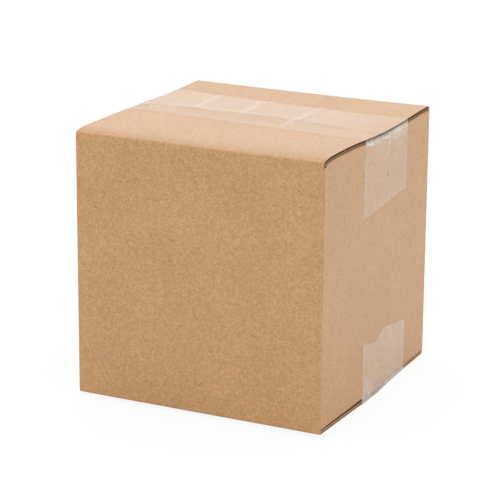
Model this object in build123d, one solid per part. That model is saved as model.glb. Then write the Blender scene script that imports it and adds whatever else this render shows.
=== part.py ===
from build123d import *
import os

# A small corrugated carton closed with clear packing tape, in millimetres.
# The front panel faces -Y, the end panel with both tape ends faces +X, and +Z is up.
# The origin is under the middle of the box, on the surface that it stands on.

# Carton, outside sizes at the folds
carton_length = 120.0
carton_width = 118.0
carton_height = 121.2
board = 1.5
liner = 0.25
fold_radius = 1.1
corner_radius = 0.8
fold_zone = 4.4

# Slots, seams and clearances between the flaps
seam_gap = 0.4
inner_flap_gap = 1.6
outer_flap_setback = 0.4
inner_flap_setback = 0.3
ply_clearance = 0.15
slot_floor = 2.3

# Glued joint of the blank, inside the back panel at the left end
glue_tab_width = 28.0
glue_tab_relief = 2.0
glue_tab_taper = 5.0
raw_edge_gap = 0.3

# Open flute at the cut ends of the outer flaps, right under the outer liner, with a
# bridge where the fluting crosses
flute_height = 0.7
flute_depth = 3.0
flute_bridge = 0.9
flute_crossings = (-37.0, -4.0, 29.0)

# Clear tape, one length over each seam, turned down or up the end panels
tape_width = 48.0
tape_thickness = 0.1
glue_line = 0.05
top_tape_middle_left = 13.0
top_tape_middle_right = 7.8
top_tape_drop_left = 34.0
top_tape_drop_front = 35.4
top_tape_drop_back = 32.3
bottom_tape_middle = 10.0
bottom_tape_climb_left = 27.0

# Torn end of the bottom tape on the right end panel: place across the tape from
# its front edge, and height over the bottom fold
torn_end = [(0.0, 27.5), (4.6, 25.3), (11.6, 24.9), (18.4, 25.8), (20.6, 28.0),
            (24.0, 28.4), (33.0, 27.2), (43.0, 25.7), (48.0, 24.3)]

# How far the top flaps stand off their nominal plane at the left end, in the middle
# and at the right end: along the seam, along the folds, and in rows between them,
# each with its share of the way from the seam to the fold
seam_rise = (0.3, 1.4, -0.6)
front_flap_rise = [(0.25, (0.45, 0.25, 0.15)), (0.5, (0.75, 0.5, 0.95)), (0.8, (0.85, 0.7, 1.25)),
                   (0.94, (0.75, 0.5, 0.95))]
front_fold_rise = (0.1, 0.05, 0.35)
back_flap_rise = [(0.3, (-0.25, 0.1, -0.85)), (0.58, (-0.5, -1.1, -0.45)), (0.8, (-0.3, -0.85, 0.0))]
back_fold_rise = (-0.3, -0.45, 0.0)
inner_flap_sections = 7

# How far the bottom flaps sag under their nominal plane: along the flat strip under
# the seam that the box stands on, in rows between it and the folds, and at the folds
sag_at_strip = 1.6
rest_strip = 12.0
front_flap_sag = [(0.5, 1.05), (0.78, 0.6)]
front_fold_sag = 0.3
back_flap_sag = [(0.3, 0.6), (0.52, 0.1), (0.78, -0.1)]
back_fold_sag = -0.35
inner_flap_follow = 0.5

# How far shapes that are cut to size run past the cut, and how far the blocks reach
# that cut them
overrun = 1.0
block_reach = 300.0

# Levels and half sizes that follow from the sizes above
half_length = carton_length / 2
half_width = carton_width / 2
inside_length = half_length - board
inside_width = half_width - board
film_inside = half_length + glue_line
film_outside = film_inside + tape_thickness
bottom_level = sag_at_strip + glue_line + tape_thickness
top_level = bottom_level + carton_height
wall_low = bottom_level + fold_zone
wall_high = top_level - fold_zone
fold_run_length = half_length - fold_radius
fold_run_width = half_width - fold_radius
deck_reach = half_length + overrun
outer_flap_end = half_length - outer_flap_setback


def through_three(values, x):
    """Value at x of the parabola through the left end, the middle and the right end."""
    left, middle, right = values
    share = x / half_length
    return middle + (right - left) / 2 * share + ((right + left) / 2 - middle) * share ** 2


def placed(rows, at_fold, side):
    """Rows of a flap and its fold, each with its place across the carton, from low to high."""
    beside = [(side * share * fold_run_width, value) for share, value in rows]
    return sorted(beside + [(side * fold_run_width, at_fold)])


def top_rows():
    """Place across the carton and rise of each row, for the front flap and the back flap."""
    seam = [(0, seam_rise)]
    front = placed(front_flap_rise, front_fold_rise, -1)
    return front + seam, seam + placed(back_flap_rise, back_fold_rise, 1)


def bottom_rows():
    """Place across the carton and sag of the bottom flaps: front, flat strip and back."""
    strip = [(side * rest_strip / 2, sag_at_strip) for side in (-1, 1)]
    front = placed(front_flap_sag, front_fold_sag, -1)
    return front + strip[:1], strip, strip[1:] + placed(back_flap_sag, back_fold_sag, 1)


def across(x, up=1):
    """Plane that cuts the carton across at x, with its second axis up or down."""
    return Plane(origin=(x, 0, 0), x_dir=(0, 1, 0), z_dir=(up, 0, 0))


def lengthways(y, up=1):
    """Plane that cuts the carton lengthways at y, with its second axis up or down."""
    return Plane(origin=(0, y, 0), x_dir=(1, 0, 0), z_dir=(0, -up, 0))


def block(x=block_reach, y=block_reach, z=block_reach):
    """A block about the origin, from -x to x, -y to y and -z to z."""
    return Box(2 * x, 2 * y, 2 * z)


def run(points):
    """A straight line through two points, or a smooth one through more."""
    if len(points) == 2:
        return Line(*points)
    return Spline(*points)


def shifted(runs, drop, start, end):
    """The same runs lowered by drop, with the first and last point put at other places."""
    moved = [[(u, v - drop) for u, v in points] for points in runs]
    moved[0][0] = (start, moved[0][0][1])
    moved[-1][-1] = (end, moved[-1][-1][1])
    return moved


def board_bridge(reach, inside, outer_runs, root):
    """Section of two facing flaps with their folds, drawn as one bridge of board.

    reach and inside are the panels' outer and inner faces, outer_runs is the
    flaps' outer line from fold to fold, and root is where the panels begin.
    """
    inner_runs = shifted(outer_runs, board, -inside, inside)
    first, last = outer_runs[0][0], outer_runs[-1][-1]
    start, end = (-reach, first[1] - fold_radius), (reach, last[1] - fold_radius)
    edges = [Line((-reach, root), start), RadiusArc(start, first, fold_radius)]
    edges += [run(points) for points in outer_runs]
    edges += [RadiusArc(last, end, fold_radius), Line(end, (reach, root))]
    edges += [Line((reach, root), (inside, root)), Line((inside, root), inner_runs[-1][-1])]
    edges += [run(points[::-1]) for points in inner_runs[::-1]]
    edges += [Line(inner_runs[0][0], (-inside, root)), Line((-inside, root), (-reach, root))]
    return Face(Wire(edges))


def top_outer_runs(x):
    """Outer line of the top outer flaps across the carton at x."""
    return [[(y, top_level + through_three(rise, x)) for y, rise in rows] for rows in top_rows()]


def bottom_outer_runs():
    """Outer line of the bottom outer flaps, measured downwards."""
    return [[(y, sag - bottom_level) for y, sag in rows] for rows in bottom_rows()]


def top_outer_deck():
    """The two top outer flaps, before the seam parts them, from beyond end to end."""
    stations = (-deck_reach, -half_length / 2, 0, half_length / 2, deck_reach)
    sections = [across(x) * board_bridge(half_width, inside_width, top_outer_runs(x), wall_high)
                for x in stations]
    return loft(sections)


def bottom_outer_deck():
    """The two bottom outer flaps, before the seam parts them, from beyond end to end."""
    section = board_bridge(half_width, inside_width, bottom_outer_runs(), -wall_low)
    return extrude(across(deck_reach, up=-1) * section, amount=2 * deck_reach, dir=(-1, 0, 0))


def under_deck(deck, x, y):
    """Height of the underside of a deck over the point (x, y)."""
    upright = Edge.make_line((x, y, 0), (x, y, block_reach))
    return min(vertex.Z for vertex in deck.intersect(upright).vertices())


def top_inner_section(outer_deck, y):
    """Section of the top inner flaps lengthways at y, just under the outer flaps."""
    places = (-fold_run_length, -half_length / 2, 0, half_length / 2, fold_run_length)
    outer = [[(x, under_deck(outer_deck, x, y) - ply_clearance) for x in places]]
    return lengthways(y) * board_bridge(half_length, inside_length, outer, wall_high)


def top_inner_deck(outer_deck):
    """The two top inner flaps before the gap parts them, lofted from the seam to each side."""
    deck = Part()
    for side in (-1, 1):
        reach = side * (inside_width - inner_flap_setback)
        places = [reach * step / (inner_flap_sections - 1) for step in range(inner_flap_sections)]
        deck += loft([top_inner_section(outer_deck, y) for y in places])
    return deck


def bottom_inner_section(y, sag):
    """Section of the bottom inner flaps at y, which sag part of the way that the outer ones do."""
    level = min(inner_flap_follow * sag, sag) - bottom_level - board - ply_clearance
    outer = [[(-fold_run_length, level), (fold_run_length, level)]]
    return lengthways(y, up=-1) * board_bridge(half_length, inside_length, outer, -wall_low)


def bottom_inner_deck():
    """The two bottom inner flaps before the gap parts them."""
    return Part() + [loft([bottom_inner_section(*row) for row in rows]) for rows in bottom_rows()]


def outer_flaps(deck):
    """Outer flaps cut to length, with the seam between them."""
    return (deck & block(x=outer_flap_end)) - block(y=seam_gap / 2)


def inner_flaps(deck):
    """Inner flaps cut to width, with the gap between them in the middle."""
    width = block(y=inside_width - inner_flap_setback)
    return (deck & width) - block(x=inner_flap_gap / 2)


def wall_plan():
    """Plan of the four panels, with the glued joint's raw edge and fold at one corner."""
    ring = RectangleRounded(carton_length, carton_width, corner_radius)
    ring -= Rectangle(2 * inside_length, 2 * inside_width)
    fold = inside_width - corner_radius
    joint = Pos(-half_length, fold) * Rectangle(board, half_width - fold, align=(Align.MIN, Align.MIN))
    raw_end = -half_length + raw_edge_gap
    back_end = Rectangle(board - raw_edge_gap, board, align=(Align.MIN, Align.MIN))
    left_end = Rectangle(board - corner_radius, corner_radius, align=(Align.MIN, Align.MIN))
    ring -= joint
    ring += Pos(raw_end, inside_width) * back_end
    ring += Pos(-half_length + corner_radius, fold) * left_end
    ring += Pos(-half_length + corner_radius, fold) * Circle(corner_radius)
    return ring


def walls():
    """The four panels, taller at the corners where the slots between the flaps end."""
    ring = extrude(Pos(0, 0, wall_low) * wall_plan(), amount=wall_high - wall_low)
    low = bottom_level + slot_floor
    high = top_level - slot_floor
    posts = extrude(Pos(0, 0, low) * wall_plan(), amount=high - low)
    posts -= block(x=inside_length)
    posts -= block(y=inside_width - 2 * inner_flap_setback)
    return ring + posts


def glue_tab():
    """Tab of the left end panel, glued flat inside the back panel."""
    low = wall_low + glue_tab_relief
    high = wall_high - glue_tab_relief
    start, end = -inside_length, -inside_length + glue_tab_width
    outline = Polyline((start, low), (end, low + glue_tab_taper), (end, high - glue_tab_taper),
                       (start, high), close=True)
    return extrude(lengthways(inside_width) * make_face(outline), amount=board, dir=(0, -1, 0))


def flute_core(outer_runs, x, up):
    """Space under the outer liner of the outer flaps, as a section across the carton at x."""
    start, end = -inside_width, inside_width
    upper = shifted(outer_runs, liner, start, end)
    lower = shifted(outer_runs, liner + flute_height, start, end)
    edges = [run(points) for points in upper]
    edges += [Line(upper[-1][-1], lower[-1][-1])]
    edges += [run(points[::-1]) for points in lower[::-1]]
    edges += [Line(lower[0][0], upper[0][0])]
    return across(x, up) * Face(Wire(edges))


def flute_opening(section_at, side):
    """Long openings at one cut end of the outer flaps, with the fluting's bridges left."""
    near = side * (outer_flap_end - flute_depth)
    opening = loft([section_at(near), section_at(side * deck_reach)], ruled=True)
    for place in flute_crossings:
        opening -= Pos(0, place, 0) * block(y=flute_bridge / 2)
    return opening


def carton(top_deck, bottom_deck):
    """The folded blank: panels, glued joint, inner flaps and outer flaps as one sheet."""
    box = walls() + glue_tab()
    box += inner_flaps(top_inner_deck(top_deck))
    box += inner_flaps(bottom_inner_deck())
    box += outer_flaps(top_deck)
    box += outer_flaps(bottom_deck)
    for side in (-1, 1):
        box -= flute_opening(lambda x: flute_core(top_outer_runs(x), x, 1), side)
        box -= flute_opening(lambda x: flute_core(bottom_outer_runs(), x, -1), side)
    return box


def tape_band(middle_left, middle_right):
    """Plan of a tape from end to end as a tall block, a little askew if the ends differ."""
    half = tape_width / 2
    plan = Polyline((-film_outside, middle_left - half), (film_outside, middle_right - half),
                    (film_outside, middle_right + half), (-film_outside, middle_left + half), close=True)
    return extrude(make_face(plan), amount=block_reach, both=True)


def end_sheet(points, side):
    """The length of tape on an end panel, from its outline in Y and Z."""
    outline = make_face(Polyline(*points, close=True))
    sheet = extrude(across(film_inside) * outline, amount=tape_thickness, dir=(1, 0, 0))
    return sheet if side > 0 else mirror(sheet, about=Plane.YZ)


def looks(normal, up):
    """Whether a normal looks mostly up, or mostly down if up is -1."""
    return normal.Z * up > abs(normal.X) + abs(normal.Y)


def tape(deck, up, band, sheets):
    """Film on the outer faces of a deck, turned over the ends onto the end panels."""
    skins = [face for face in deck.faces() if looks(face.normal_at(), up)]
    inner = [Pos(0, 0, up * glue_line) * face for face in skins]
    outer = [Pos(0, 0, up * tape_thickness) * face for face in inner]
    film = [Solid.extrude(face, Vector(0, 0, up * tape_thickness)) & band for face in inner]
    under = [Solid.extrude(face, Vector(0, 0, -up * carton_height / 2)) for face in outer]
    whole = Part() + film
    for sheet in sheets:
        whole += [sheet & room for room in under]
    return whole


def top_tape(deck):
    """Tape over the top seam, with its straight cut ends on both end panels."""
    half = tape_width / 2
    over = top_level + overrun
    right = [(top_tape_middle_right - half, over), (top_tape_middle_right + half, over),
             (top_tape_middle_right + half, top_level - top_tape_drop_back),
             (top_tape_middle_right - half, top_level - top_tape_drop_front)]
    cut = top_level - top_tape_drop_left
    left = [(top_tape_middle_left - half, over), (top_tape_middle_left + half, over),
            (top_tape_middle_left + half, cut), (top_tape_middle_left - half, cut)]
    band = tape_band(top_tape_middle_left, top_tape_middle_right)
    return tape(deck, 1, band, [end_sheet(right, 1), end_sheet(left, -1)])


def bottom_tape(deck):
    """Tape under the bottom seam, torn off by hand on the right end panel."""
    front = bottom_tape_middle - tape_width / 2
    back = bottom_tape_middle + tape_width / 2
    under = -overrun
    cut = bottom_level + bottom_tape_climb_left
    right = [(back, under), (front, under)]
    right += [(front + place, bottom_level + height) for place, height in torn_end]
    left = [(back, under), (front, under), (front, cut), (back, cut)]
    band = tape_band(bottom_tape_middle, bottom_tape_middle)
    return tape(deck, -1, band, [end_sheet(right, 1), end_sheet(left, -1)])


top_deck = top_outer_deck()
bottom_deck = bottom_outer_deck()
pieces = {
    "carton": carton(top_deck, bottom_deck),
    "top_tape": top_tape(top_deck),
    "bottom_tape": bottom_tape(bottom_deck),
}

os.makedirs("parts", exist_ok=True)
for name, piece in pieces.items():
    export_step(piece, f"parts/{name}.step")
    print(name, "solids", len(piece.solids()), "volume", round(piece.volume, 1), "valid", piece.is_valid)
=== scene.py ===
# %% [markdown]
# # A taped parcel
# The object is a small corrugated carton, folded shut and closed with two lengths of clear packing
# tape. Its solids come from the CAD frame in metres: the front panel faces -Y, the taped end panel
# faces +X, and the floor is at Z 0. This script gives them their looks, which are kraft paper, open
# flutes and clear film. Sizes on the parcel are written in millimetres, which MM turns into
# metres, and those of the floor, the lamps and the camera are in metres.

# %% The frame
import math
import bpy
import numpy as np
from mathutils import Matrix, Vector
from mathutils.bvhtree import BVHTree


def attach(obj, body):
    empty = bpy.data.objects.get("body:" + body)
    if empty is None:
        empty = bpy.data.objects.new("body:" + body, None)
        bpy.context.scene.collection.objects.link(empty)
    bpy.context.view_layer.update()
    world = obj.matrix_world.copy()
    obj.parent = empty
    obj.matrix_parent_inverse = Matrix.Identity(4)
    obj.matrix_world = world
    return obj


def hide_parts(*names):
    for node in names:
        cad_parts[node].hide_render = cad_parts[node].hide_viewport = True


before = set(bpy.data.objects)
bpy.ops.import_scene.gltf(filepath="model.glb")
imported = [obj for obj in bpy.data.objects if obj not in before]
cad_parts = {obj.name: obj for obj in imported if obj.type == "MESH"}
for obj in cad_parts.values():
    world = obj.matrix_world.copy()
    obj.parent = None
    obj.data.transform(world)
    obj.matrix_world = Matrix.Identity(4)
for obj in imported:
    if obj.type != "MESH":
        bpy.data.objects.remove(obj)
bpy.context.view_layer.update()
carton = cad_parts["carton"]
MM = 0.001

# %% [markdown]
# ## Paper and film as materials
# Neither paper nor film is quite even. An image could be painted for each of them, but noise in the
# piece's own coordinates has no seams at the folds and stays sharp at any distance, so both are
# built from noise. These small helpers keep the node trees short: they make a material, fill a
# socket, make a noise, stretch a value, put two values together and mix two colours.

# %% Helpers for materials
def new_material(name):
    """A material with its nodes, its links and its main shader."""
    material = bpy.data.materials.new(name)
    material.use_nodes = True
    nodes = material.node_tree.nodes
    return material, nodes, material.node_tree.links, nodes["Principled BSDF"]


def fill(links, socket, value):
    """Links the socket to another socket, or gives it a plain value."""
    if isinstance(value, bpy.types.NodeSocket):
        links.new(value, socket)
    else:
        socket.default_value = value


def noise(nodes, links, coordinates, scale, stretch=(1, 1, 1), detail=2.0):
    """Noise around 0.5 in stretched coordinates, with scale cells in a metre."""
    place = nodes.new("ShaderNodeMapping")
    place.inputs["Scale"].default_value = stretch
    links.new(coordinates, place.inputs["Vector"])
    texture = nodes.new("ShaderNodeTexNoise")
    texture.inputs["Scale"].default_value = scale
    texture.inputs["Detail"].default_value = detail
    links.new(place.outputs["Vector"], texture.inputs["Vector"])
    return texture.outputs["Fac"]


def spread(nodes, links, value, given=(0.0, 1.0), wanted=(0.0, 1.0)):
    """The value moved from the given range to the wanted one, and clamped to it."""
    change = nodes.new("ShaderNodeMapRange")
    for socket, number in zip(("From Min", "From Max", "To Min", "To Max"), (*given, *wanted)):
        change.inputs[socket].default_value = number
    links.new(value, change.inputs["Value"])
    return change.outputs["Result"]


def math_node(nodes, links, operation, first, second=0.0):
    """Two values, each a socket or a number, put together by one operation."""
    node = nodes.new("ShaderNodeMath")
    node.operation = operation
    fill(links, node.inputs[0], first)
    fill(links, node.inputs[1], second)
    return node.outputs["Value"]


def product(nodes, links, first, *others):
    """Several values multiplied."""
    for other in others:
        first = math_node(nodes, links, "MULTIPLY", first, other)
    return first


def blend(nodes, links, factor, first, second):
    """First colour where the factor is 0 and second where it is 1. Either may be a socket."""
    mix = nodes.new("ShaderNodeMix")
    mix.data_type = "RGBA"
    links.new(factor, mix.inputs["Factor"])
    ends = [socket for socket in mix.inputs if socket.type == "RGBA"]
    for socket, colour in zip(ends, (first, second)):
        fill(links, socket, (*colour, 1.0) if isinstance(colour, tuple) else colour)
    return [socket for socket in mix.outputs if socket.type == "RGBA"][0]


def metres(*sizes):
    """Sizes in mm as metres."""
    return tuple(size * MM for size in sizes)


# %% [markdown]
# ## Marks on the paper
# Unbleached paper has dark specks of bark, and this parcel has one brown patch near the left end of
# its top. Specks could be strewn at random, but those that the eye finds on the parcel are known,
# so each is placed by itself. A speck is a soft round spot, and the brown patch is a stretched one.

# %% Specks and stain
SPECKS = [
    # X, Y and Z on the panel's outer face in mm, and radius in mm
    (-50.1, -59.0, 89.8, 0.55), (-22.9, -59.0, 80.6, 0.5), (-13.0, -59.0, 70.1, 0.6),
    (-41.7, -59.0, 62.8, 0.5), (-3.6, -59.0, 55.6, 0.5), (-38.6, -59.0, 42.5, 0.45),
    (-25.3, -59.0, 12.4, 0.5), (-21.7, -59.0, 10.6, 0.5), (-14.8, -59.0, 14.1, 0.45),
    (-8.0, -59.0, 11.5, 0.5), (1.2, -59.0, 14.8, 0.55), (2.2, -59.0, 15.8, 0.5),
    (8.2, -59.0, 120.2, 0.45), (49.2, -59.0, 102.4, 0.5), (-23.0, -59.0, 108.4, 0.45),
    (60.0, 10.3, 102.1, 1.5), (60.0, 49.3, 78.9, 0.7), (60.0, -34.0, 50.0, 0.45),
]
BROWN_PATCH_PLACE = (-55.0, -4.0, 123.4)
BROWN_PATCH_RADII = (3.0, 5.5, 3.0)
SPOT_CORE = 0.3  # share of a spot's radius within which it is full


def spot(nodes, links, here, centre, radius, stretch=(1, 1, 1)):
    """A soft round spot in mm about a point, 1 in its middle and 0 outside it."""
    place = nodes.new("ShaderNodeMapping")
    place.inputs["Scale"].default_value = [1 / (MM * s) for s in stretch]
    place.inputs["Location"].default_value = [-c / s for c, s in zip(centre, stretch)]
    links.new(here, place.inputs["Vector"])
    length = nodes.new("ShaderNodeVectorMath")
    length.operation = "LENGTH"
    links.new(place.outputs["Vector"], length.inputs[0])
    return spread(nodes, links, length.outputs["Value"], (radius * SPOT_CORE, radius), (1.0, 0.0))


print("placed marks:", len(SPECKS), "specks and one stain")

# %% [markdown]
# ## Cut ends and hollows
# A cut edge of board is rough and looks darker than the smooth liner, and hardly any light comes
# out of the thin gaps around the flaps. The lamps alone would leave those gaps too pale, because
# they are drawn only a few millimetres deep. So shade is painted into the paper there: an ambient
# occlusion node finds the gaps, and the way that a face looks finds the cut ends. The cut ends of
# the top flaps, under the flaps' edges, are darker than those of the bottom ones, so their darkness
# is partly the rough paper and partly painted shade.

# %% Finding cut ends and hollows
HOLLOW_REACH = 1.5  # mm within which a wall shelters a point
SHELTER_RAYS = 8
SHELTERED = (0.35, 0.9)  # open share around a point, from hidden to free
SEAM_SIDE = (0.4, 1.2)  # mm from the seam, which stays light
FLAP_CORNER = (57.9, 58.5)  # mm from the seam, where the slot at the corner lets light in
CORNER_DARK = 0.2
LOW_TAPE_EDGE = (-16.0, -12.0)  # Y in mm, where the bottom tape begins
LOW_DARK = (0.8, 0.3)  # painted shade of the bottom hollows before that edge, and from there on
UP_THE_PANEL = (30.0, 90.0)  # Z in mm, a range that parts the bottom flaps from the top ones
LOOKS_SIDEWAYS = (0.6, 0.8)  # X of the way a face looks
INSIDE_END_PANEL = (59.75, 59.85)  # mm from the middle, because cut ends lie a little further in
# share of the cut ends' darkening, rough paper and painted shade, left on the bottom flaps
LOW_CUT_DARK = 0.1


def part_of(nodes, links, vector, axis):
    """One part of a vector."""
    split = nodes.new("ShaderNodeSeparateXYZ")
    links.new(vector, split.inputs[0])
    return split.outputs[axis]


def size_of(nodes, links, vector, axis):
    """One part of a vector without its sign."""
    return math_node(nodes, links, "ABSOLUTE", part_of(nodes, links, vector, axis))


def in_hollows(nodes, links, here):
    """Where shade is painted: 1 in hollows under about a millimetre wide, where no light comes, 0
    in the open.
    """
    shelter = nodes.new("ShaderNodeAmbientOcclusion")
    shelter.samples = SHELTER_RAYS
    shelter.only_local = True
    shelter.inputs["Distance"].default_value = HOLLOW_REACH * MM
    hidden = spread(nodes, links, shelter.outputs["AO"], SHELTERED, (1.0, 0.0))
    from_seam = size_of(nodes, links, here, "Y")
    off_seam = spread(nodes, links, from_seam, metres(*SEAM_SIDE))
    off_corner = spread(nodes, links, from_seam, metres(*FLAP_CORNER), (1.0, CORNER_DARK))
    y, z = part_of(nodes, links, here, "Y"), part_of(nodes, links, here, "Z")
    low = spread(nodes, links, y, metres(*LOW_TAPE_EDGE), LOW_DARK)
    high = spread(nodes, links, z, metres(*UP_THE_PANEL))
    depth = math_node(nodes, links, "MAXIMUM", low, high)
    return product(nodes, links, hidden, product(nodes, links, off_seam, off_corner), depth)


def on_cut_ends(nodes, links, here):
    """Darkening of rough cut ends, partly painted shade: 1 on the top flaps', less on the bottom
    ones, 0 elsewhere.
    """
    normal = nodes.new("ShaderNodeNewGeometry").outputs["Normal"]
    sideways = spread(nodes, links, size_of(nodes, links, normal, "X"), LOOKS_SIDEWAYS)
    from_middle, height = size_of(nodes, links, here, "X"), size_of(nodes, links, here, "Z")
    inside = spread(nodes, links, from_middle, metres(*INSIDE_END_PANEL), (1.0, 0.0))
    amount = spread(nodes, links, height, metres(*UP_THE_PANEL), (LOW_CUT_DARK, 1.0))
    return product(nodes, links, sideways, inside, amount)


# %% [markdown]
# ## Kraft board
# The liner is brown paper of long wood fibres. From a step away it is even, with a fine grain.
# Close up it has soft clouds where the pulp lay thicker, short pale fibres and dark flecks. One
# noise could give it a grain, but the paper is uneven at several sizes at once. So three noises
# vary its tone, and two more mix in the fibres and the flecks. Then come the placed marks, the cut
# ends, darker as rough paper and partly as painted shade, and the painted shade in the hollows.

# %% Tones and flecks of the paper
TONES = {
    # cells in a metre, detail, range of the noise, range of the tone
    "clouds": (45.0, 3.0, (0.3, 0.7), (0.965, 1.035)),
    "mottle": (420.0, 2.0, (0.3, 0.7), (0.93, 1.07)),
    "grain": (1300.0, 1.0, (0.25, 0.75), (0.8, 1.2)),
}
FLECKS = {
    # cells in a metre, stretch, detail, range of the noise, most cover, shade of the brown
    "pale fibres": (800.0, (1.0, 1.0, 0.2), 2.0, (0.62, 0.8), 0.25, 1.25),
    "dark flecks": (800.0, (1.0, 1.0, 1.0), 0.0, (0.74, 0.82), 0.3, 0.45),
}
KRAFT_BROWN = (0.485, 0.266, 0.112)
PATCH_BROWN = (0.42, 0.16, 0.05)
SPECK_COVER, PATCH_COVER = 0.7, 0.8
# darkest shares of the brown: specks, cut ends (rough paper and painted shade) and hollows (painted
# shade)
SPECK_SHADE, CUT_SHADE, HOLLOW_SHADE = 0.2, 0.55, 0.02
LINER_ROUGHNESS, CUT_ROUGHNESS = 0.38, 1.0
GRAIN_HEIGHT, GRAIN_STRENGTH = 0.04, 0.3
print("noises in the paper:", ", ".join([*TONES, *FLECKS]))


# %% Kraft material
def scaled(nodes, links, colour, amount):
    """The colour made paler or darker by an amount around 1."""
    node = nodes.new("ShaderNodeVectorMath")
    node.operation = "SCALE"
    node.inputs[0].default_value = colour
    links.new(amount, node.inputs["Scale"])
    return node.outputs["Vector"]


def marked(nodes, links, here, base, dark):
    """The base colour with the placed specks and the brown patch."""
    marks = 0.0
    for *centre, radius in SPECKS:
        speck = spot(nodes, links, here, centre, radius)
        marks = math_node(nodes, links, "MAXIMUM", speck, marks)
    base = blend(nodes, links, spread(nodes, links, marks, wanted=(0.0, SPECK_COVER)), base, dark)
    brown_patch = spot(nodes, links, here, BROWN_PATCH_PLACE, 1.0, BROWN_PATCH_RADII)
    cover = spread(nodes, links, brown_patch, wanted=(0.0, PATCH_COVER))
    return blend(nodes, links, cover, base, PATCH_BROWN)


def kraft(name, brown):
    """Brown paper with clouds, grain, fibres, flecks, marks, rough dark cuts, and painted shade on
    cuts and in hollows.
    """
    def shade(amount):
        return tuple(amount * part for part in brown)

    material, nodes, links, shader = new_material(name)
    here = nodes.new("ShaderNodeTexCoord").outputs["Object"]
    uneven, tone = {}, 1.0
    for layer, (scale, detail, given, wanted) in TONES.items():
        uneven[layer] = noise(nodes, links, here, scale, detail=detail)
        tone = product(nodes, links, spread(nodes, links, uneven[layer], given, wanted), tone)
    base = scaled(nodes, links, brown, tone)
    for scale, stretch, detail, given, cover, amount in FLECKS.values():
        flecks = noise(nodes, links, here, scale, stretch, detail)
        covered = spread(nodes, links, flecks, given, (0.0, cover))
        base = blend(nodes, links, covered, base, shade(amount))
    base = marked(nodes, links, here, base, shade(SPECK_SHADE))
    cut, hollow = on_cut_ends(nodes, links, here), in_hollows(nodes, links, here)
    # cut ends: darker as rough paper, and partly painted shade
    base = blend(nodes, links, cut, base, shade(CUT_SHADE))
    # painted shade in the hollows, where little light comes out
    base = blend(nodes, links, hollow, base, shade(HOLLOW_SHADE))
    links.new(base, shader.inputs["Base Color"])
    raw = math_node(nodes, links, "MAXIMUM", cut, hollow)
    rough = spread(nodes, links, raw, wanted=(LINER_ROUGHNESS, CUT_ROUGHNESS))
    links.new(rough, shader.inputs["Roughness"])
    shader.inputs["Specular IOR Level"].default_value = 0.5
    bump = nodes.new("ShaderNodeBump")
    bump.inputs["Strength"].default_value = GRAIN_STRENGTH
    bump.inputs["Distance"].default_value = GRAIN_HEIGHT * MM
    links.new(uneven["grain"], bump.inputs["Height"])
    links.new(bump.outputs["Normal"], shader.inputs["Normal"])
    return material


# %% Kraft on the carton
board_material = kraft("kraft_board", KRAFT_BROWN)
carton.data.materials.clear()
carton.data.materials.append(board_material)
print("kraft on", carton.name, "with", len(carton.data.polygons), "facets")

# %% [markdown]
# ## Open flutes
# Corrugated board is two liners with a wavy paper, the fluting, glued between them. A flap is cut
# along its flutes, so its cut edge shows one long hollow instead of a row of small ones, and where
# the cut wanders off the flute, the fluting crosses slowly from one liner to the other. The CAD has
# the hollow. The fluting could be modelled by hand, but it is thin paper on a wave, a shape that
# follows a rule, so a small geometry node tree makes it: a narrow grid is laid along the cut, each
# point finds the flap's outer face with a ray and is set under it on the wave, and the sheet gets
# the thickness of paper.

# %% Inputs of the fluting tree
FAR = 400.0  # mm above or below the parcel's foot, where rays start
FLUTING_SIZES = {
    # X of the strip's middle, 1 on the top flaps and -1 on the bottom ones, then sizes in metres
    "Cut end X": 0.0, "Outward Z": 1.0, "Length": 100 * MM, "Depth": 3 * MM, "Liner": 0.25 * MM,
    "Hollow": 0.7 * MM, "Wave length": 66 * MM, "Wave start": 0.0, "Paper": 0.18 * MM,
    "Seam gap": 0.6 * MM,
}
FLUTING_STEPS = 161


def add_inputs(tree):
    """Gives the tree its named inputs, and returns their identifiers by name."""
    tree.interface.new_socket("Geometry", in_out="OUTPUT", socket_type="NodeSocketGeometry")
    kinds = {**{name: "Float" for name in FLUTING_SIZES},
             "Steps": "Int", "Board": "Object", "Material": "Material"}
    values = {**FLUTING_SIZES, "Steps": FLUTING_STEPS}
    identifiers = {}
    for name, kind in kinds.items():
        socket = tree.interface.new_socket(name, in_out="INPUT", socket_type="NodeSocket" + kind)
        if name in values:
            socket.default_value = values[name]
        identifiers[name] = socket.identifier
    return identifiers


fluting = bpy.data.node_groups.new("fluting", "GeometryNodeTree")
fluting_inputs = add_inputs(fluting)
print("fluting tree inputs:", ", ".join(fluting_inputs))

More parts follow.
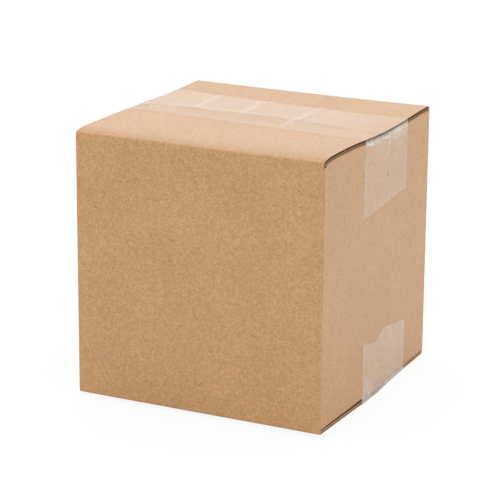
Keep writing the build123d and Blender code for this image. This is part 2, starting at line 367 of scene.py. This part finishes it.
# %% Nodes of the fluting tree
def build_fluting(tree):
    """A narrow grid, set on the wave under the board's face, parted at the seam and thickened."""
    nodes, links = tree.nodes, tree.links
    given = nodes.new("NodeGroupInput").outputs

    def calc(operation, first, second=0.0):
        return math_node(nodes, links, operation, first, second)

    def node_of(kind, sockets):
        node = nodes.new(kind)
        for label, value in sockets.items():
            fill(links, node.inputs[label], value)
        return node

    def vector(x, y, z):
        return node_of("ShaderNodeCombineXYZ", {"X": x, "Y": y, "Z": z}).outputs[0]

    # the grid's own place, and the outer face above or below it
    grid = node_of("GeometryNodeMeshGrid", {"Size X": given["Depth"], "Size Y": given["Length"],
                                            "Vertices X": 3, "Vertices Y": given["Steps"]})
    here = node_of("ShaderNodeSeparateXYZ",
                   {"Vector": nodes.new("GeometryNodeInputPosition").outputs[0]})
    x = calc("ADD", here.outputs["X"], given["Cut end X"])
    y = here.outputs["Y"]
    board = node_of("GeometryNodeObjectInfo", {"Object": given["Board"]})
    outside = vector(x, y, calc("MULTIPLY", given["Outward Z"], FAR * MM))
    inwards = vector(0.0, 0.0, calc("MULTIPLY", given["Outward Z"], -1.0))
    ray = node_of("GeometryNodeRaycast", {"Target Geometry": board.outputs["Geometry"],
                                          "Source Position": outside, "Ray Direction": inwards,
                                          "Ray Length": 1.0})
    hit = node_of("ShaderNodeSeparateXYZ", {"Vector": ray.outputs["Hit Position"]})

    # the wave between the liners
    turn = calc("DIVIDE", calc("SUBTRACT", y, given["Wave start"]), given["Wave length"])
    wave = calc("SINE", calc("MULTIPLY", turn, 2 * math.pi))
    swing = calc("MULTIPLY", calc("SUBTRACT", given["Hollow"], given["Paper"]), 0.5)
    middle = calc("ADD", given["Liner"], calc("MULTIPLY", given["Hollow"], 0.5))
    drop = calc("SUBTRACT", middle, calc("MULTIPLY", swing, wave))
    z = calc("SUBTRACT", hit.outputs["Z"], calc("MULTIPLY", drop, given["Outward Z"]))
    lower = vector(x, y, calc("SUBTRACT", z, calc("MULTIPLY", given["Paper"], 0.5)))
    place = node_of("GeometryNodeSetPosition",
                    {"Geometry": grid.outputs["Mesh"], "Position": lower})

    # two strips, one on each side of the seam, with the thickness of paper
    at_seam = calc("LESS_THAN", calc("ABSOLUTE", y), calc("MULTIPLY", given["Seam gap"], 0.5))
    parted = node_of("GeometryNodeDeleteGeometry",
                     {"Geometry": place.outputs["Geometry"], "Selection": at_seam})
    parted.domain = "FACE"
    sheet = parted.outputs["Geometry"]
    lift = node_of("GeometryNodeExtrudeMesh",
                   {"Mesh": sheet, "Offset": vector(0.0, 0.0, given["Paper"]),
                    "Offset Scale": 1.0, "Individual": False})
    under_side = node_of("GeometryNodeFlipFaces", {"Mesh": sheet})
    both = node_of("GeometryNodeJoinGeometry", {"Geometry": lift.outputs["Mesh"]})
    links.new(under_side.outputs["Mesh"], both.inputs["Geometry"])
    welded = node_of("GeometryNodeMergeByDistance",
                     {"Geometry": both.outputs[0], "Distance": 0.01 * MM})
    real = node_of("GeometryNodeRealizeInstances", {"Geometry": welded.outputs["Geometry"]})
    painted = node_of("GeometryNodeSetMaterial",
                      {"Geometry": real.outputs["Geometry"], "Material": given["Material"]})
    links.new(painted.outputs["Geometry"], nodes.new("NodeGroupOutput").inputs[0])


build_fluting(fluting)
print("fluting tree nodes:", len(fluting.nodes))

# %% [markdown]
# ## Fluting in the cut ends
# The top and the bottom flaps show their fluting at both ends. One strip could be copied, but the
# flaps bow differently, so the tree runs four times with other inputs. The top strips get a darker
# paper, because little light reaches them, and the bottom ones the paper of the board. Each result
# is turned into a plain mesh, and the modifier goes.

# %% Four strips of fluting
CUT_END = 59.6
BEHIND_CUT = 0.02
FLUTE_DEPTH = 2.9
FLUTE_LENGTH = 114.6
# darker brown of the top strips' fluting, painted shade because little light reaches it
SHADED_FLUTE_BROWN = (0.12, 0.064, 0.03)
TOP_WAVE_START, LOW_WAVE_START = -20.5, -37.0
shaded_flute_paper = kraft("shaded_flute_paper", SHADED_FLUTE_BROWN)


def lay_fluting(name, side, outward, wave_start, paper):
    """One strip of fluting in the hollow at one end of the top or the bottom flaps."""
    maker = bpy.data.objects.new(name, bpy.data.meshes.new(name))
    bpy.context.scene.collection.objects.link(maker)
    laid = maker.modifiers.new("fluting", "NODES")
    laid.node_group = fluting
    given = {"Cut end X": side * (CUT_END - FLUTE_DEPTH / 2 - BEHIND_CUT) * MM,
             "Outward Z": outward, "Length": FLUTE_LENGTH * MM, "Depth": FLUTE_DEPTH * MM,
             "Wave start": wave_start * MM, "Board": carton, "Material": paper}
    for label, value in given.items():
        laid[fluting_inputs[label]] = value
    shape = maker.evaluated_get(bpy.context.evaluated_depsgraph_get())
    strip = bpy.data.meshes.new_from_object(shape)
    maker.modifiers.clear()
    maker.data = strip
    strip.name = name
    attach(maker, "root")
    print(name, "faces", len(strip.polygons))


for end_name, side in (("left", -1), ("right", 1)):
    lay_fluting(f"fluting_top_{end_name}", side, 1.0, TOP_WAVE_START, shaded_flute_paper)
    lay_fluting(f"fluting_bottom_{end_name}", side, -1.0, LOW_WAVE_START, board_material)

# %% [markdown]
# ## Clear tape
# Packing tape is a clear plastic film with glue on one side. It could stay the flat CAD film, but
# real tape shows by what isn't perfect: it turns the folds in a small round, pulls white creases
# where it was bridged over an edge, and looks milky where the glue doesn't wet the paper. So each
# film is laid again as a fine grid over the CAD film, which is read with rays, and every point
# carries how hazy the tape is there.

# %% Reading the CAD film
END_BAND = 0.02  # mm from the farthest X, within which a point lies on an outer face
RAY_INSET = 0.05  # mm from an outer face to the rays that find the film's cut and its fold


def film_facts(node):
    """Ray tree of a film in mm, where its long edges lie at both ends, and its outer faces' X."""
    places = np.array([vertex.co for vertex in node.data.vertices]) / MM
    facets = [facet.vertices[:] for facet in node.data.polygons]
    tree = BVHTree.FromPolygons([Vector(p) for p in places], facets)
    reach = float(places[:, 0].max())
    edges = []
    for side in (-1, 1):
        at_end = places[side * places[:, 0] > reach - END_BAND, 1]
        edges.append((float(at_end.min()), float(at_end.max())))
    return tree, edges, reach


def level(tree, x, y, outward):
    """Height of the film's outermost point over or under (x, y)."""
    return tree.ray_cast(Vector((x, y, outward * FAR)), Vector((0, 0, -outward)))[0].z


# %% Laying a film
FILM_THICKNESS = 0.08
TURN = 0.6  # mm, radius of the round at a fold
ROUND_POINTS = 5
EDGE_INSET = 0.03


def lay_film(node, outward, steps, lanes):
    """Grid of points on the film's outer face, from its left end to its right end.

    Steps are the numbers of points on its left end, along its middle and on its right end.
    Returns the points in mm, and the way along and across the film.
    """
    tree, edges, reach = film_facts(node)
    left_steps, middle_steps, right_steps = steps
    angles = np.linspace(0, math.pi / 2, ROUND_POINTS + 2)[1:-1]
    flat = np.linspace(-reach + TURN, reach - TURN, middle_steps)
    lines = []
    for share in np.linspace(0, 1, lanes):
        ends = [edge[0] + EDGE_INSET + share * (edge[1] - edge[0] - 2 * EDGE_INSET)
                for edge in edges]
        line = []
        for side, count in ((-1, left_steps), (1, right_steps)):
            y = ends[(side + 1) // 2]
            cut = level(tree, side * (reach - RAY_INSET), y, -outward)
            fold = level(tree, side * (reach - RAY_INSET), y, outward)
            drop = [(side * reach, y, z) for z in np.linspace(cut, fold - outward * TURN, count)]
            turn = [(side * (reach - TURN + TURN * math.cos(a)), y,
                     fold - outward * TURN * (1 - math.sin(a))) for a in angles]
            line.append(drop + turn)
        lane = []
        for x in flat:
            y = ends[0] + (x + reach) / (2 * reach) * (ends[1] - ends[0])
            lane.append((x, y, level(tree, x, y, outward)))
        lines.append(line[0] + lane + line[1][::-1])
    points = np.array(lines)
    gaps = np.linalg.norm(np.diff(points[lanes // 2], axis=0), axis=1)
    along = np.concatenate([[0], np.cumsum(gaps)])
    across = np.linspace(0, edges[1][1] - edges[1][0], lanes)
    return points, along, across


# %% [markdown]
# ## Haze and creases
# A crease in film is a thin white line, pale because the film stands off the paper there, and its
# ridge catches the light. It could be a fold in the mesh alone, but clear film hardly shows its
# shape: what the eye sees is the haze. So a crease is a soft line of haze from one measured point
# to the next, partly the film's milkiness and partly a painted highlight, and the film is lifted a
# little along it. Where lines meet, the larger haze holds, which leaves no bright knots.

# %% Lines of haze
TOP_CREASES = [
    # start and end as X and Y in mm, width in mm, haze, partly a painted highlight
    ((-32.2, 2.9), (-34.3, 18.6), 1.5, 0.24), ((-34.3, 18.6), (-36.2, 34.5), 1.5, 0.24),
    ((-8.5, 2.2), (-9.8, 15.4), 1.5, 0.24), ((-9.8, 15.4), (-12.7, 33.5), 1.5, 0.22),
    ((16.6, -9.6), (18.4, 1.7), 1.7, 0.24), ((18.4, 1.7), (17.8, 15.3), 1.7, 0.24),
    ((17.8, 15.3), (16.0, 33.0), 1.7, 0.24),
    ((57.6, -9.0), (52.0, 3.0), 0.6, 0.1), ((56.9, 2.0), (53.5, 14.0), 0.5, 0.1),
]
SEAM_LINE = [
    # pale line just behind the seam, given in the same way
    ((-59.0, 2.0), (-30.0, 2.0), 1.5, 0.18), ((-30.0, 2.0), (0.0, 1.7), 1.4, 0.12),
    ((0.0, 1.7), (22.0, 2.4), 1.3, 0.05),
]
RIGHT_CREASES = [
    # start and end as Y and Z in mm, width in mm, haze, partly a painted highlight
    ((10.4, 120.3), (10.7, 116.4), 0.9, 0.46), ((10.7, 116.4), (8.2, 111.6), 0.8, 0.3),
    ((10.9, 114.0), (11.0, 109.6), 0.6, 0.14), ((-13.8, 121.2), (-9.4, 119.2), 0.5, 0.55),
    ((-10.8, 121.2), (-6.8, 119.2), 0.5, 0.55), ((-6.0, 121.0), (-3.4, 118.6), 0.5, 0.5),
    ((-2.2, 120.8), (-0.6, 117.4), 0.6, 0.34), ((1.2, 120.3), (8.6, 119.4), 0.6, 0.3),
    ((3.5, 115.4), (3.2, 110.8), 0.6, 0.14), ((6.2, 116.5), (5.8, 111.0), 0.6, 0.12),
]
LOW_CREASES = [
    # the same on the bottom film's right end
    ((17.7, 29.4), (19.4, 14.4), 0.9, 0.14), ((1.2, 18.2), (3.1, 11.5), 0.8, 0.12),
    ((13.0, 15.1), (15.2, 6.0), 0.6, 0.1), ((-9.0, 9.5), (-1.0, 6.5), 2.0, 0.16),
    ((-7.5, 13.0), (-5.0, 5.0), 0.8, 0.14), ((-11.5, 6.5), (-6.0, 4.0), 1.2, 0.16),
    ((-12.0, 24.0), (-11.2, 8.0), 0.7, 0.1), ((24.0, 26.0), (25.5, 12.0), 0.8, 0.08),
]
# painted highlight along the film's long edges, and its width in mm
EDGE_HIGHLIGHT, EDGE_WIDTH = 0.25, 0.5
print("lines of haze:", sum(map(len, (TOP_CREASES, SEAM_LINE, RIGHT_CREASES, LOW_CREASES))))


# %% Haze on the grid
def smooth(value, start, end):
    """0 before start, 1 after end, and a soft step between."""
    share = np.clip((value - start) / (end - start), 0, 1)
    return share * share * (3 - 2 * share)


def crease(u, v, start, end, width):
    """1 on the straight line from start to end, falling to 0 at about 1.5 widths from it."""
    run = (end[0] - start[0], end[1] - start[1])
    way = (u - start[0]) * run[0] + (v - start[1]) * run[1]
    share = np.clip(way / (run[0] ** 2 + run[1] ** 2), 0, 1)
    gap = np.hypot(u - start[0] - share * run[0], v - start[1] - share * run[1])
    return np.exp(-(gap / width) ** 2)


def creases(u, v, lines, here):
    """Haze of all creases of one face together, where here is 1."""
    haze = np.zeros_like(u)
    for start, end, width, amount in lines:
        haze = np.maximum(haze, amount * crease(u, v, start, end, width) * here)
    return haze


def edge_highlight(across):
    """A painted highlight: the film's long edges catch the light in a thin line."""
    inside = np.minimum(across, across[-1] - across)
    return (EDGE_HIGHLIGHT * np.exp(-(inside / EDGE_WIDTH) ** 2))[:, None]


def cut_highlight(along, amount, width):
    """A painted highlight on the cut or torn edge at its right end too."""
    return amount * np.exp(-((along[-1] - along) / width) ** 2)[None, :]


def add_haze(haze, *layers):
    """Layers of haze over one another, each between 0 and 1."""
    for layer in layers:
        haze = 1 - (1 - haze) * (1 - np.clip(layer, 0, 1))
    return haze


# %% [markdown]
# ## The film as a shell
# The film could be one sheet with a Solidify modifier. Here the grid already knows which way is
# out, so its inner layer and the walls around it are written at once as one closed mesh. The haze
# of every point goes in as an attribute, and its place on the unrolled tape as a UV map.

# %% Closed shell of a film
def shell_faces(lanes, steps, outward):
    """Corners of the faces of the outer layer, the inner layer and the walls around them."""
    index = np.arange(lanes * steps).reshape(lanes, steps)
    corners = [index[:-1, :-1], index[:-1, 1:], index[1:, 1:], index[1:, :-1]]
    quads = np.stack(corners, -1).reshape(-1, 4)
    rim = np.concatenate([index[0, :-1], index[:-1, -1], index[-1, :0:-1], index[:0:-1, 0]])
    after = np.roll(rim, -1)
    walls = np.stack([rim, rim + index.size, after + index.size, after], -1)
    faces = np.concatenate([quads, quads[:, ::-1] + index.size, walls])
    return faces if outward > 0 else faces[:, ::-1]


def film_object(name, points, along, across, haze, lifted, outward):
    """Thin closed shell of a film, with its haze as an attribute and its unrolled place as UV."""
    normal = np.cross(np.gradient(points, axis=1), np.gradient(points, axis=0)) * outward
    normal /= np.linalg.norm(normal, axis=2, keepdims=True)
    outer = points + normal * lifted[..., None]
    inner = outer - normal * FILM_THICKNESS
    both = np.concatenate([outer.reshape(-1, 3), inner.reshape(-1, 3)])
    mesh = bpy.data.meshes.new(name)
    mesh.from_pydata((both * MM).tolist(), [], shell_faces(*haze.shape, outward).tolist())
    values = mesh.attributes.new("haze", "FLOAT", "POINT")
    values.data.foreach_set("value", np.tile(haze.reshape(-1), 2).astype(np.float32))
    shares = np.broadcast_arrays(along[None, :] / along[-1], across[:, None] / across[-1])
    unrolled = np.tile(np.stack(shares, -1).reshape(-1, 2), (2, 1))
    corners = np.empty(len(mesh.loops), np.int32)
    mesh.loops.foreach_get("vertex_index", corners)
    places = mesh.uv_layers.new(name="film").data
    places.foreach_set("uv", unrolled[corners].reshape(-1).astype(np.float32))
    mesh.shade_smooth()
    piece = bpy.data.objects.new(name, mesh)
    bpy.context.scene.collection.objects.link(piece)
    return piece


# %% [markdown]
# ## Milky film
# A glass shader would be the plain way to a clear film, but it bends what lies behind it and makes
# a render slow and grainy. A milky coat that covers the paper only in part gives the same look. Its
# alpha is the haze, with fine streaks along the tape and a few clouds, and its gloss is that of
# plastic.

# %% Film material
STREAK_SCALE, STREAK_STRETCH = 350.0, 0.12
CLOUD_SCALE = 120.0
STREAKS_VARY, CLOUDS_VARY = (0.82, 1.18), (0.86, 1.14)
FILM_TINTS = (0.94, 0.905, 0.83), (0.99, 0.965, 0.89)
FILM_ROUGHNESS = 0.3
MOST_HAZE = 0.95


def film_material(name, length, width):
    """Milky film, whose haze says how much it covers the paper."""
    material, nodes, links, shader = new_material(name)
    unrolled = nodes.new("ShaderNodeUVMap")
    unrolled.uv_map = "film"
    place = unrolled.outputs["UV"]
    haze = nodes.new("ShaderNodeAttribute")
    haze.attribute_name = "haze"
    size = (length * MM, width * MM, 1.0)
    drawn_out = (size[0] * STREAK_STRETCH, size[1], 1.0)
    streaks = noise(nodes, links, place, STREAK_SCALE, drawn_out, detail=2.0)
    cloud = noise(nodes, links, place, CLOUD_SCALE, size, detail=3.0)
    uneven = product(nodes, links, spread(nodes, links, streaks, (0.25, 0.75), STREAKS_VARY),
                     spread(nodes, links, cloud, (0.3, 0.7), CLOUDS_VARY))
    links.new(product(nodes, links, haze.outputs["Fac"], uneven), shader.inputs["Alpha"])
    tint = blend(nodes, links, spread(nodes, links, cloud, (0.3, 0.7)), *FILM_TINTS)
    links.new(tint, shader.inputs["Base Color"])
    shader.inputs["Roughness"].default_value = FILM_ROUGHNESS
    return material


def through_one_face(haze):
    """The shell shows the paper through two faces, so each takes half of the haze."""
    return 1 - np.sqrt(1 - np.clip(haze, 0, MOST_HAZE))


# %% [markdown]
# ## Top tape
# The tape bridges the seam, where it is palest, and is clearer towards its right end. Three long
# creases run to its back edge. On the end panel it is milky over the flaps' cut edges, clearer over
# the hollow in them, and loose in one small patch. A haze map could be painted, but soft steps over
# the grid's own places are easier to correct.

# %% Places on the top film
TOP_STEPS, TOP_LANES = (44, 240, 72), 81
points, along, across = lay_film(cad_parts["top_tape"], 1.0, TOP_STEPS, TOP_LANES)
x, y, z = points[..., 0], points[..., 1], points[..., 2]
reach = float(x.max())
on_top = smooth(reach - abs(x), 0.0, TURN)
on_right = (1 - on_top) * (x > 0)
on_left = (1 - on_top) * (x < 0)

# soft steps, each between two places in mm
behind_seam = smooth(y, -0.5, 2.0)
to_right_end = smooth(x, 30.0, 58.0)
left_fold = points[:, [TOP_STEPS[0] + ROUND_POINTS], 2]
right_fold = points[:, [-TOP_STEPS[2] - ROUND_POINTS - 1], 2]
below_fold = np.where(x > 0, right_fold, left_fold) - z
over_board_edge = smooth(below_fold, 0.9, 1.4) * (1 - smooth(below_fold, 2.8, 3.6))
over_hollow = smooth(below_fold, 0.1, 0.3) * (1 - smooth(below_fold, 0.8, 1.1))
loose_patch = smooth(y, 12.0, 16.0) * smooth(z, 114.0, 119.5)
print("top film", round(along[-1], 1), "mm long, points:", points.shape[:2])

# %% Haze of the top film
TOP_HAZE, MORE_BEHIND_SEAM, LESS_AT_RIGHT_END = 0.22, 0.03, 0.5
END_HAZE, MORE_OVER_EDGE, LESS_OVER_HOLLOW, MORE_IN_PATCH = 0.19, 0.14, 0.5, 0.22
SEAM_HAZE, SEAM_HAZE_LOSS, SEAM_WIDTH = 0.37, 0.07, 0.5
LESS_EDGE_ON_TOP = 0.6
# painted highlight on the top film's cut end, and its width in mm
CUT_HIGHLIGHT, CUT_WIDTH = 0.04, 0.5
RIGHT_LIFT, TOP_LIFT = 0.35, 0.12  # mm that a crease of full haze stands up

top_haze = (TOP_HAZE + MORE_BEHIND_SEAM * behind_seam) * (1 - LESS_AT_RIGHT_END * to_right_end)
end_haze = (END_HAZE + MORE_OVER_EDGE * over_board_edge) * (1 - LESS_OVER_HOLLOW * over_hollow)
right_haze = end_haze + MORE_IN_PATCH * loose_patch * (1 - over_hollow)
haze = top_haze * on_top + right_haze * on_right + end_haze * on_left
# creases: haze where the film stands off the paper, and partly a painted highlight
top_lines = creases(x, y, TOP_CREASES + SEAM_LINE, on_top)
right_lines = creases(y, z, RIGHT_CREASES, on_right)
# painted highlight on the long edges, weaker on the top
long_edges = edge_highlight(across) * (1 - LESS_EDGE_ON_TOP * on_top)
haze = add_haze(haze, top_lines, right_lines, long_edges)
along_seam = SEAM_HAZE - SEAM_HAZE_LOSS * smooth(x, -30.0, 30.0)
haze = np.maximum(haze, along_seam * np.exp(-(y / SEAM_WIDTH) ** 4) * on_top)
haze = add_haze(haze, cut_highlight(along, CUT_HIGHLIGHT, CUT_WIDTH))
lifted = RIGHT_LIFT * right_lines + TOP_LIFT * creases(x, y, TOP_CREASES, on_top)
print("top film haze:", round(float(haze.min()), 2), "to", round(float(haze.max()), 2))

# %% Top film
top_film = film_object("top_film", points, along, across, through_one_face(haze), lifted, 1.0)
top_film.data.materials.append(film_material("top_film_clear", along[-1], across[-1]))
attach(top_film, "root")
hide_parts("top_tape")
print("top film faces:", len(top_film.data.polygons))

# %% [markdown]
# ## Bottom tape
# The same tape closes the bottom seam. Its right end was torn off by hand, so that edge wanders by
# almost a millimetre. The points of the tear could be listed one by one, but a seeded random walk
# wanders just so. The film is milky over the flaps' cut ends, most of all over the slit above
# them, and it has crumples in its lower left corner.

# %% Haze of the bottom film
LOW_STEPS, LOW_LANES = (36, 61, 62), 97
LOW_HAZE, MORE_OVER_FLAPS, MORE_OVER_SLIT = 0.24, 0.12, 0.16
SLIT_LEVEL, SLIT_WIDTH = 3.1, 0.7
LOW_EDGE_SHARE = 0.6
# painted highlight on the torn edge, and its width in mm
TORN_HIGHLIGHT, TORN_WIDTH = 0.3, 0.4

points, along, across = lay_film(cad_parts["bottom_tape"], -1.0, LOW_STEPS, LOW_LANES)
x, y, z = points[..., 0], points[..., 1], points[..., 2]
on_right = (x > 59.0) * smooth(z, 0.2, 0.8)
# crumples: haze where the film stands off the paper, and partly a painted highlight
low_lines = creases(y, z, LOW_CREASES, on_right)
over_flap_edge = on_right * (1 - smooth(z, 3.4, 4.6))
over_slit = on_right * np.exp(-((z - SLIT_LEVEL) / SLIT_WIDTH) ** 2)
haze = LOW_HAZE + MORE_OVER_FLAPS * over_flap_edge + MORE_OVER_SLIT * over_slit
# crumples, and painted highlights on the long edges and the torn edge
haze = add_haze(haze, low_lines, edge_highlight(across) * LOW_EDGE_SHARE,
                cut_highlight(along, TORN_HIGHLIGHT, TORN_WIDTH))
print("bottom film haze:", round(float(haze.min()), 2), "to", round(float(haze.max()), 2))

# %% Torn edge
TEAR_SEED, TEAR_STEP, TEAR_REACH = 7, 0.07, 4.0
torn = np.cumsum(np.random.default_rng(TEAR_SEED).normal(0, TEAR_STEP, LOW_LANES))
torn -= np.linspace(torn[0], torn[-1], LOW_LANES)
tear = smooth(along[None, :], along[-1] - TEAR_REACH, along[-1])
points[..., 2] += tear * (torn - torn.mean())[:, None] * on_right
print("torn edge wanders by", round(float(torn.max() - torn.min()), 2), "mm")

# %% Bottom film
LOW_LIFT = 0.2
lifted = LOW_LIFT * low_lines
face_haze = through_one_face(haze)
bottom_film = film_object("bottom_film", points, along, across, face_haze, lifted, -1.0)
bottom_film.data.materials.append(film_material("bottom_film_clear", along[-1], across[-1]))
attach(bottom_film, "root")
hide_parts("bottom_tape")
print("bottom film", round(along[-1], 1), "mm long,", len(bottom_film.data.polygons), "faces")

# %% [markdown]
# ## Floor
# The parcel stands on plain white. A white plane alone would look greyer than the white behind it,
# and more light on it would also fall on the box. So the floor is a diffuse white that takes the
# contact shadow, and for the camera most of it is a white of its own, which keeps the shadow faint.

# %% Floor plane
FLOOR_HALF = 3.0
floor_mesh = bpy.data.meshes.new("floor")
around = ((-1, -1), (1, -1), (1, 1), (-1, 1))
floor_mesh.from_pydata([(i * FLOOR_HALF, j * FLOOR_HALF, 0) for i, j in around], [], [(0, 1, 2, 3)])
floor = bpy.data.objects.new("floor", floor_mesh)
bpy.context.scene.collection.objects.link(floor)
print("floor is", 2 * FLOOR_HALF, "m wide")

# %% White of the floor
FLOOR_WHITE = (0.92, 0.92, 0.92, 1.0)
FLOOR_ROUGHNESS = 0.9
OWN_WHITE = 0.9
floor_material, floor_nodes, floor_links, floor_shader = new_material("white_floor")
floor_shader.inputs["Base Color"].default_value = FLOOR_WHITE
floor_shader.inputs["Roughness"].default_value = FLOOR_ROUGHNESS
floor_shader.inputs["Specular IOR Level"].default_value = 0.0
white = floor_nodes.new("ShaderNodeEmission")
white.inputs["Strength"].default_value = 1.0
seen = floor_nodes.new("ShaderNodeLightPath").outputs["Is Camera Ray"]
mixed = floor_nodes.new("ShaderNodeMixShader")
share = spread(floor_nodes, floor_links, seen, wanted=(0.0, OWN_WHITE))
floor_links.new(share, mixed.inputs["Fac"])
floor_links.new(floor_shader.outputs[0], mixed.inputs[1])
floor_links.new(white.outputs[0], mixed.inputs[2])
floor_links.new(mixed.outputs[0], floor_nodes["Material Output"].inputs["Surface"])
floor_mesh.materials.append(floor_material)
print("white of its own to the camera:", OWN_WHITE)

# %% [markdown]
# ## Light
# The parcel stands in light so even that it has almost no shadow. One lamp would throw a clear one,
# so a white world gives most of the light, from all sides. A large soft lamp above makes the top
# paler than the panels, a weak low one lights the front and the end panel, and one behind gives the
# top tape some sheen. To the camera and to reflections the world is pure white.

# %% Lamps
TARGET = Vector((0, 0, 0.062))
LAMPS = {
    # place and size in metres, power in watts
    "above": ((0.0, 0.0, 1.6), (1.6, 1.6), 11.8),
    "front": ((1.05, -1.1, 0.15), (1.4, 0.8), 1.4),
    "behind": ((-0.8, 1.7, 0.65), (1.6, 0.8), 2.3),
}


def area_light(name, place, size, power):
    """A rectangular lamp that looks at the parcel's middle."""
    light = bpy.data.lights.new(name, "AREA")
    light.shape = "RECTANGLE"
    light.size, light.size_y = size
    light.energy = power
    lamp = bpy.data.objects.new(name, light)
    lamp.location = place
    lamp.rotation_euler = (Vector(place) - TARGET).to_track_quat("Z", "Y").to_euler()
    bpy.context.scene.collection.objects.link(lamp)


for name, (place, size, power) in LAMPS.items():
    area_light(name, place, size, power)
print("lamps:", ", ".join(LAMPS))

# %% World
WORLD_LIGHT, WORLD_SEEN = 0.9, 1.0
world = bpy.data.worlds.new("studio")
bpy.context.scene.world = world
world.use_nodes = True
sky_nodes, sky_links = world.node_tree.nodes, world.node_tree.links
path = sky_nodes.new("ShaderNodeLightPath").outputs
shown = math_node(sky_nodes, sky_links, "MAXIMUM", path["Is Camera Ray"], path["Is Glossy Ray"])
strength = spread(sky_nodes, sky_links, shown, wanted=(WORLD_LIGHT, WORLD_SEEN))
sky_links.new(strength, sky_nodes["Background"].inputs["Strength"])
sky_nodes["Background"].inputs["Color"].default_value = (1.0, 1.0, 1.0, 1.0)
print("world gives", WORLD_LIGHT, "and shows", WORLD_SEEN)

# %% [markdown]
# ## Camera
# The parcel is seen from about one metre, looking down on the corner between the front panel and
# the right end panel. The camera could be set by eye, but its angles, lens and aim were fitted to
# the parcel's edges in the photo, so that the drawn edges fall on those.

# %% Camera
azimuth, elevation, roll = (math.radians(angle) for angle in (25.990, 16.818, 0.401))
DISTANCE = 1.0443
MOVED_LEFT, MOVED_DOWN = 0.003636, 0.000049
SENSOR_WIDTH, LENS = 36.0, 165.83
back = Vector((math.sin(azimuth) * math.cos(elevation), -math.cos(azimuth) * math.cos(elevation),
               math.sin(elevation)))
flat_right = Vector((math.cos(azimuth), math.sin(azimuth), 0))
flat_up = back.cross(flat_right)
right = flat_right * math.cos(roll) + flat_up * math.sin(roll)
up = flat_up * math.cos(roll) - flat_right * math.sin(roll)
camera_data = bpy.data.cameras.new("camera")
camera_data.sensor_width = SENSOR_WIDTH
camera_data.lens = LENS
camera = bpy.data.objects.new("camera", camera_data)
bpy.context.scene.collection.objects.link(camera)
camera.location = TARGET + back * DISTANCE - right * MOVED_LEFT - up * MOVED_DOWN
camera.rotation_mode = "QUATERNION"
camera.rotation_quaternion = Matrix([right, up, back]).transposed().to_quaternion()
bpy.context.scene.camera = camera
bpy.context.scene.view_settings.view_transform = "Standard"
print("camera at", [round(part, 3) for part in camera.location])
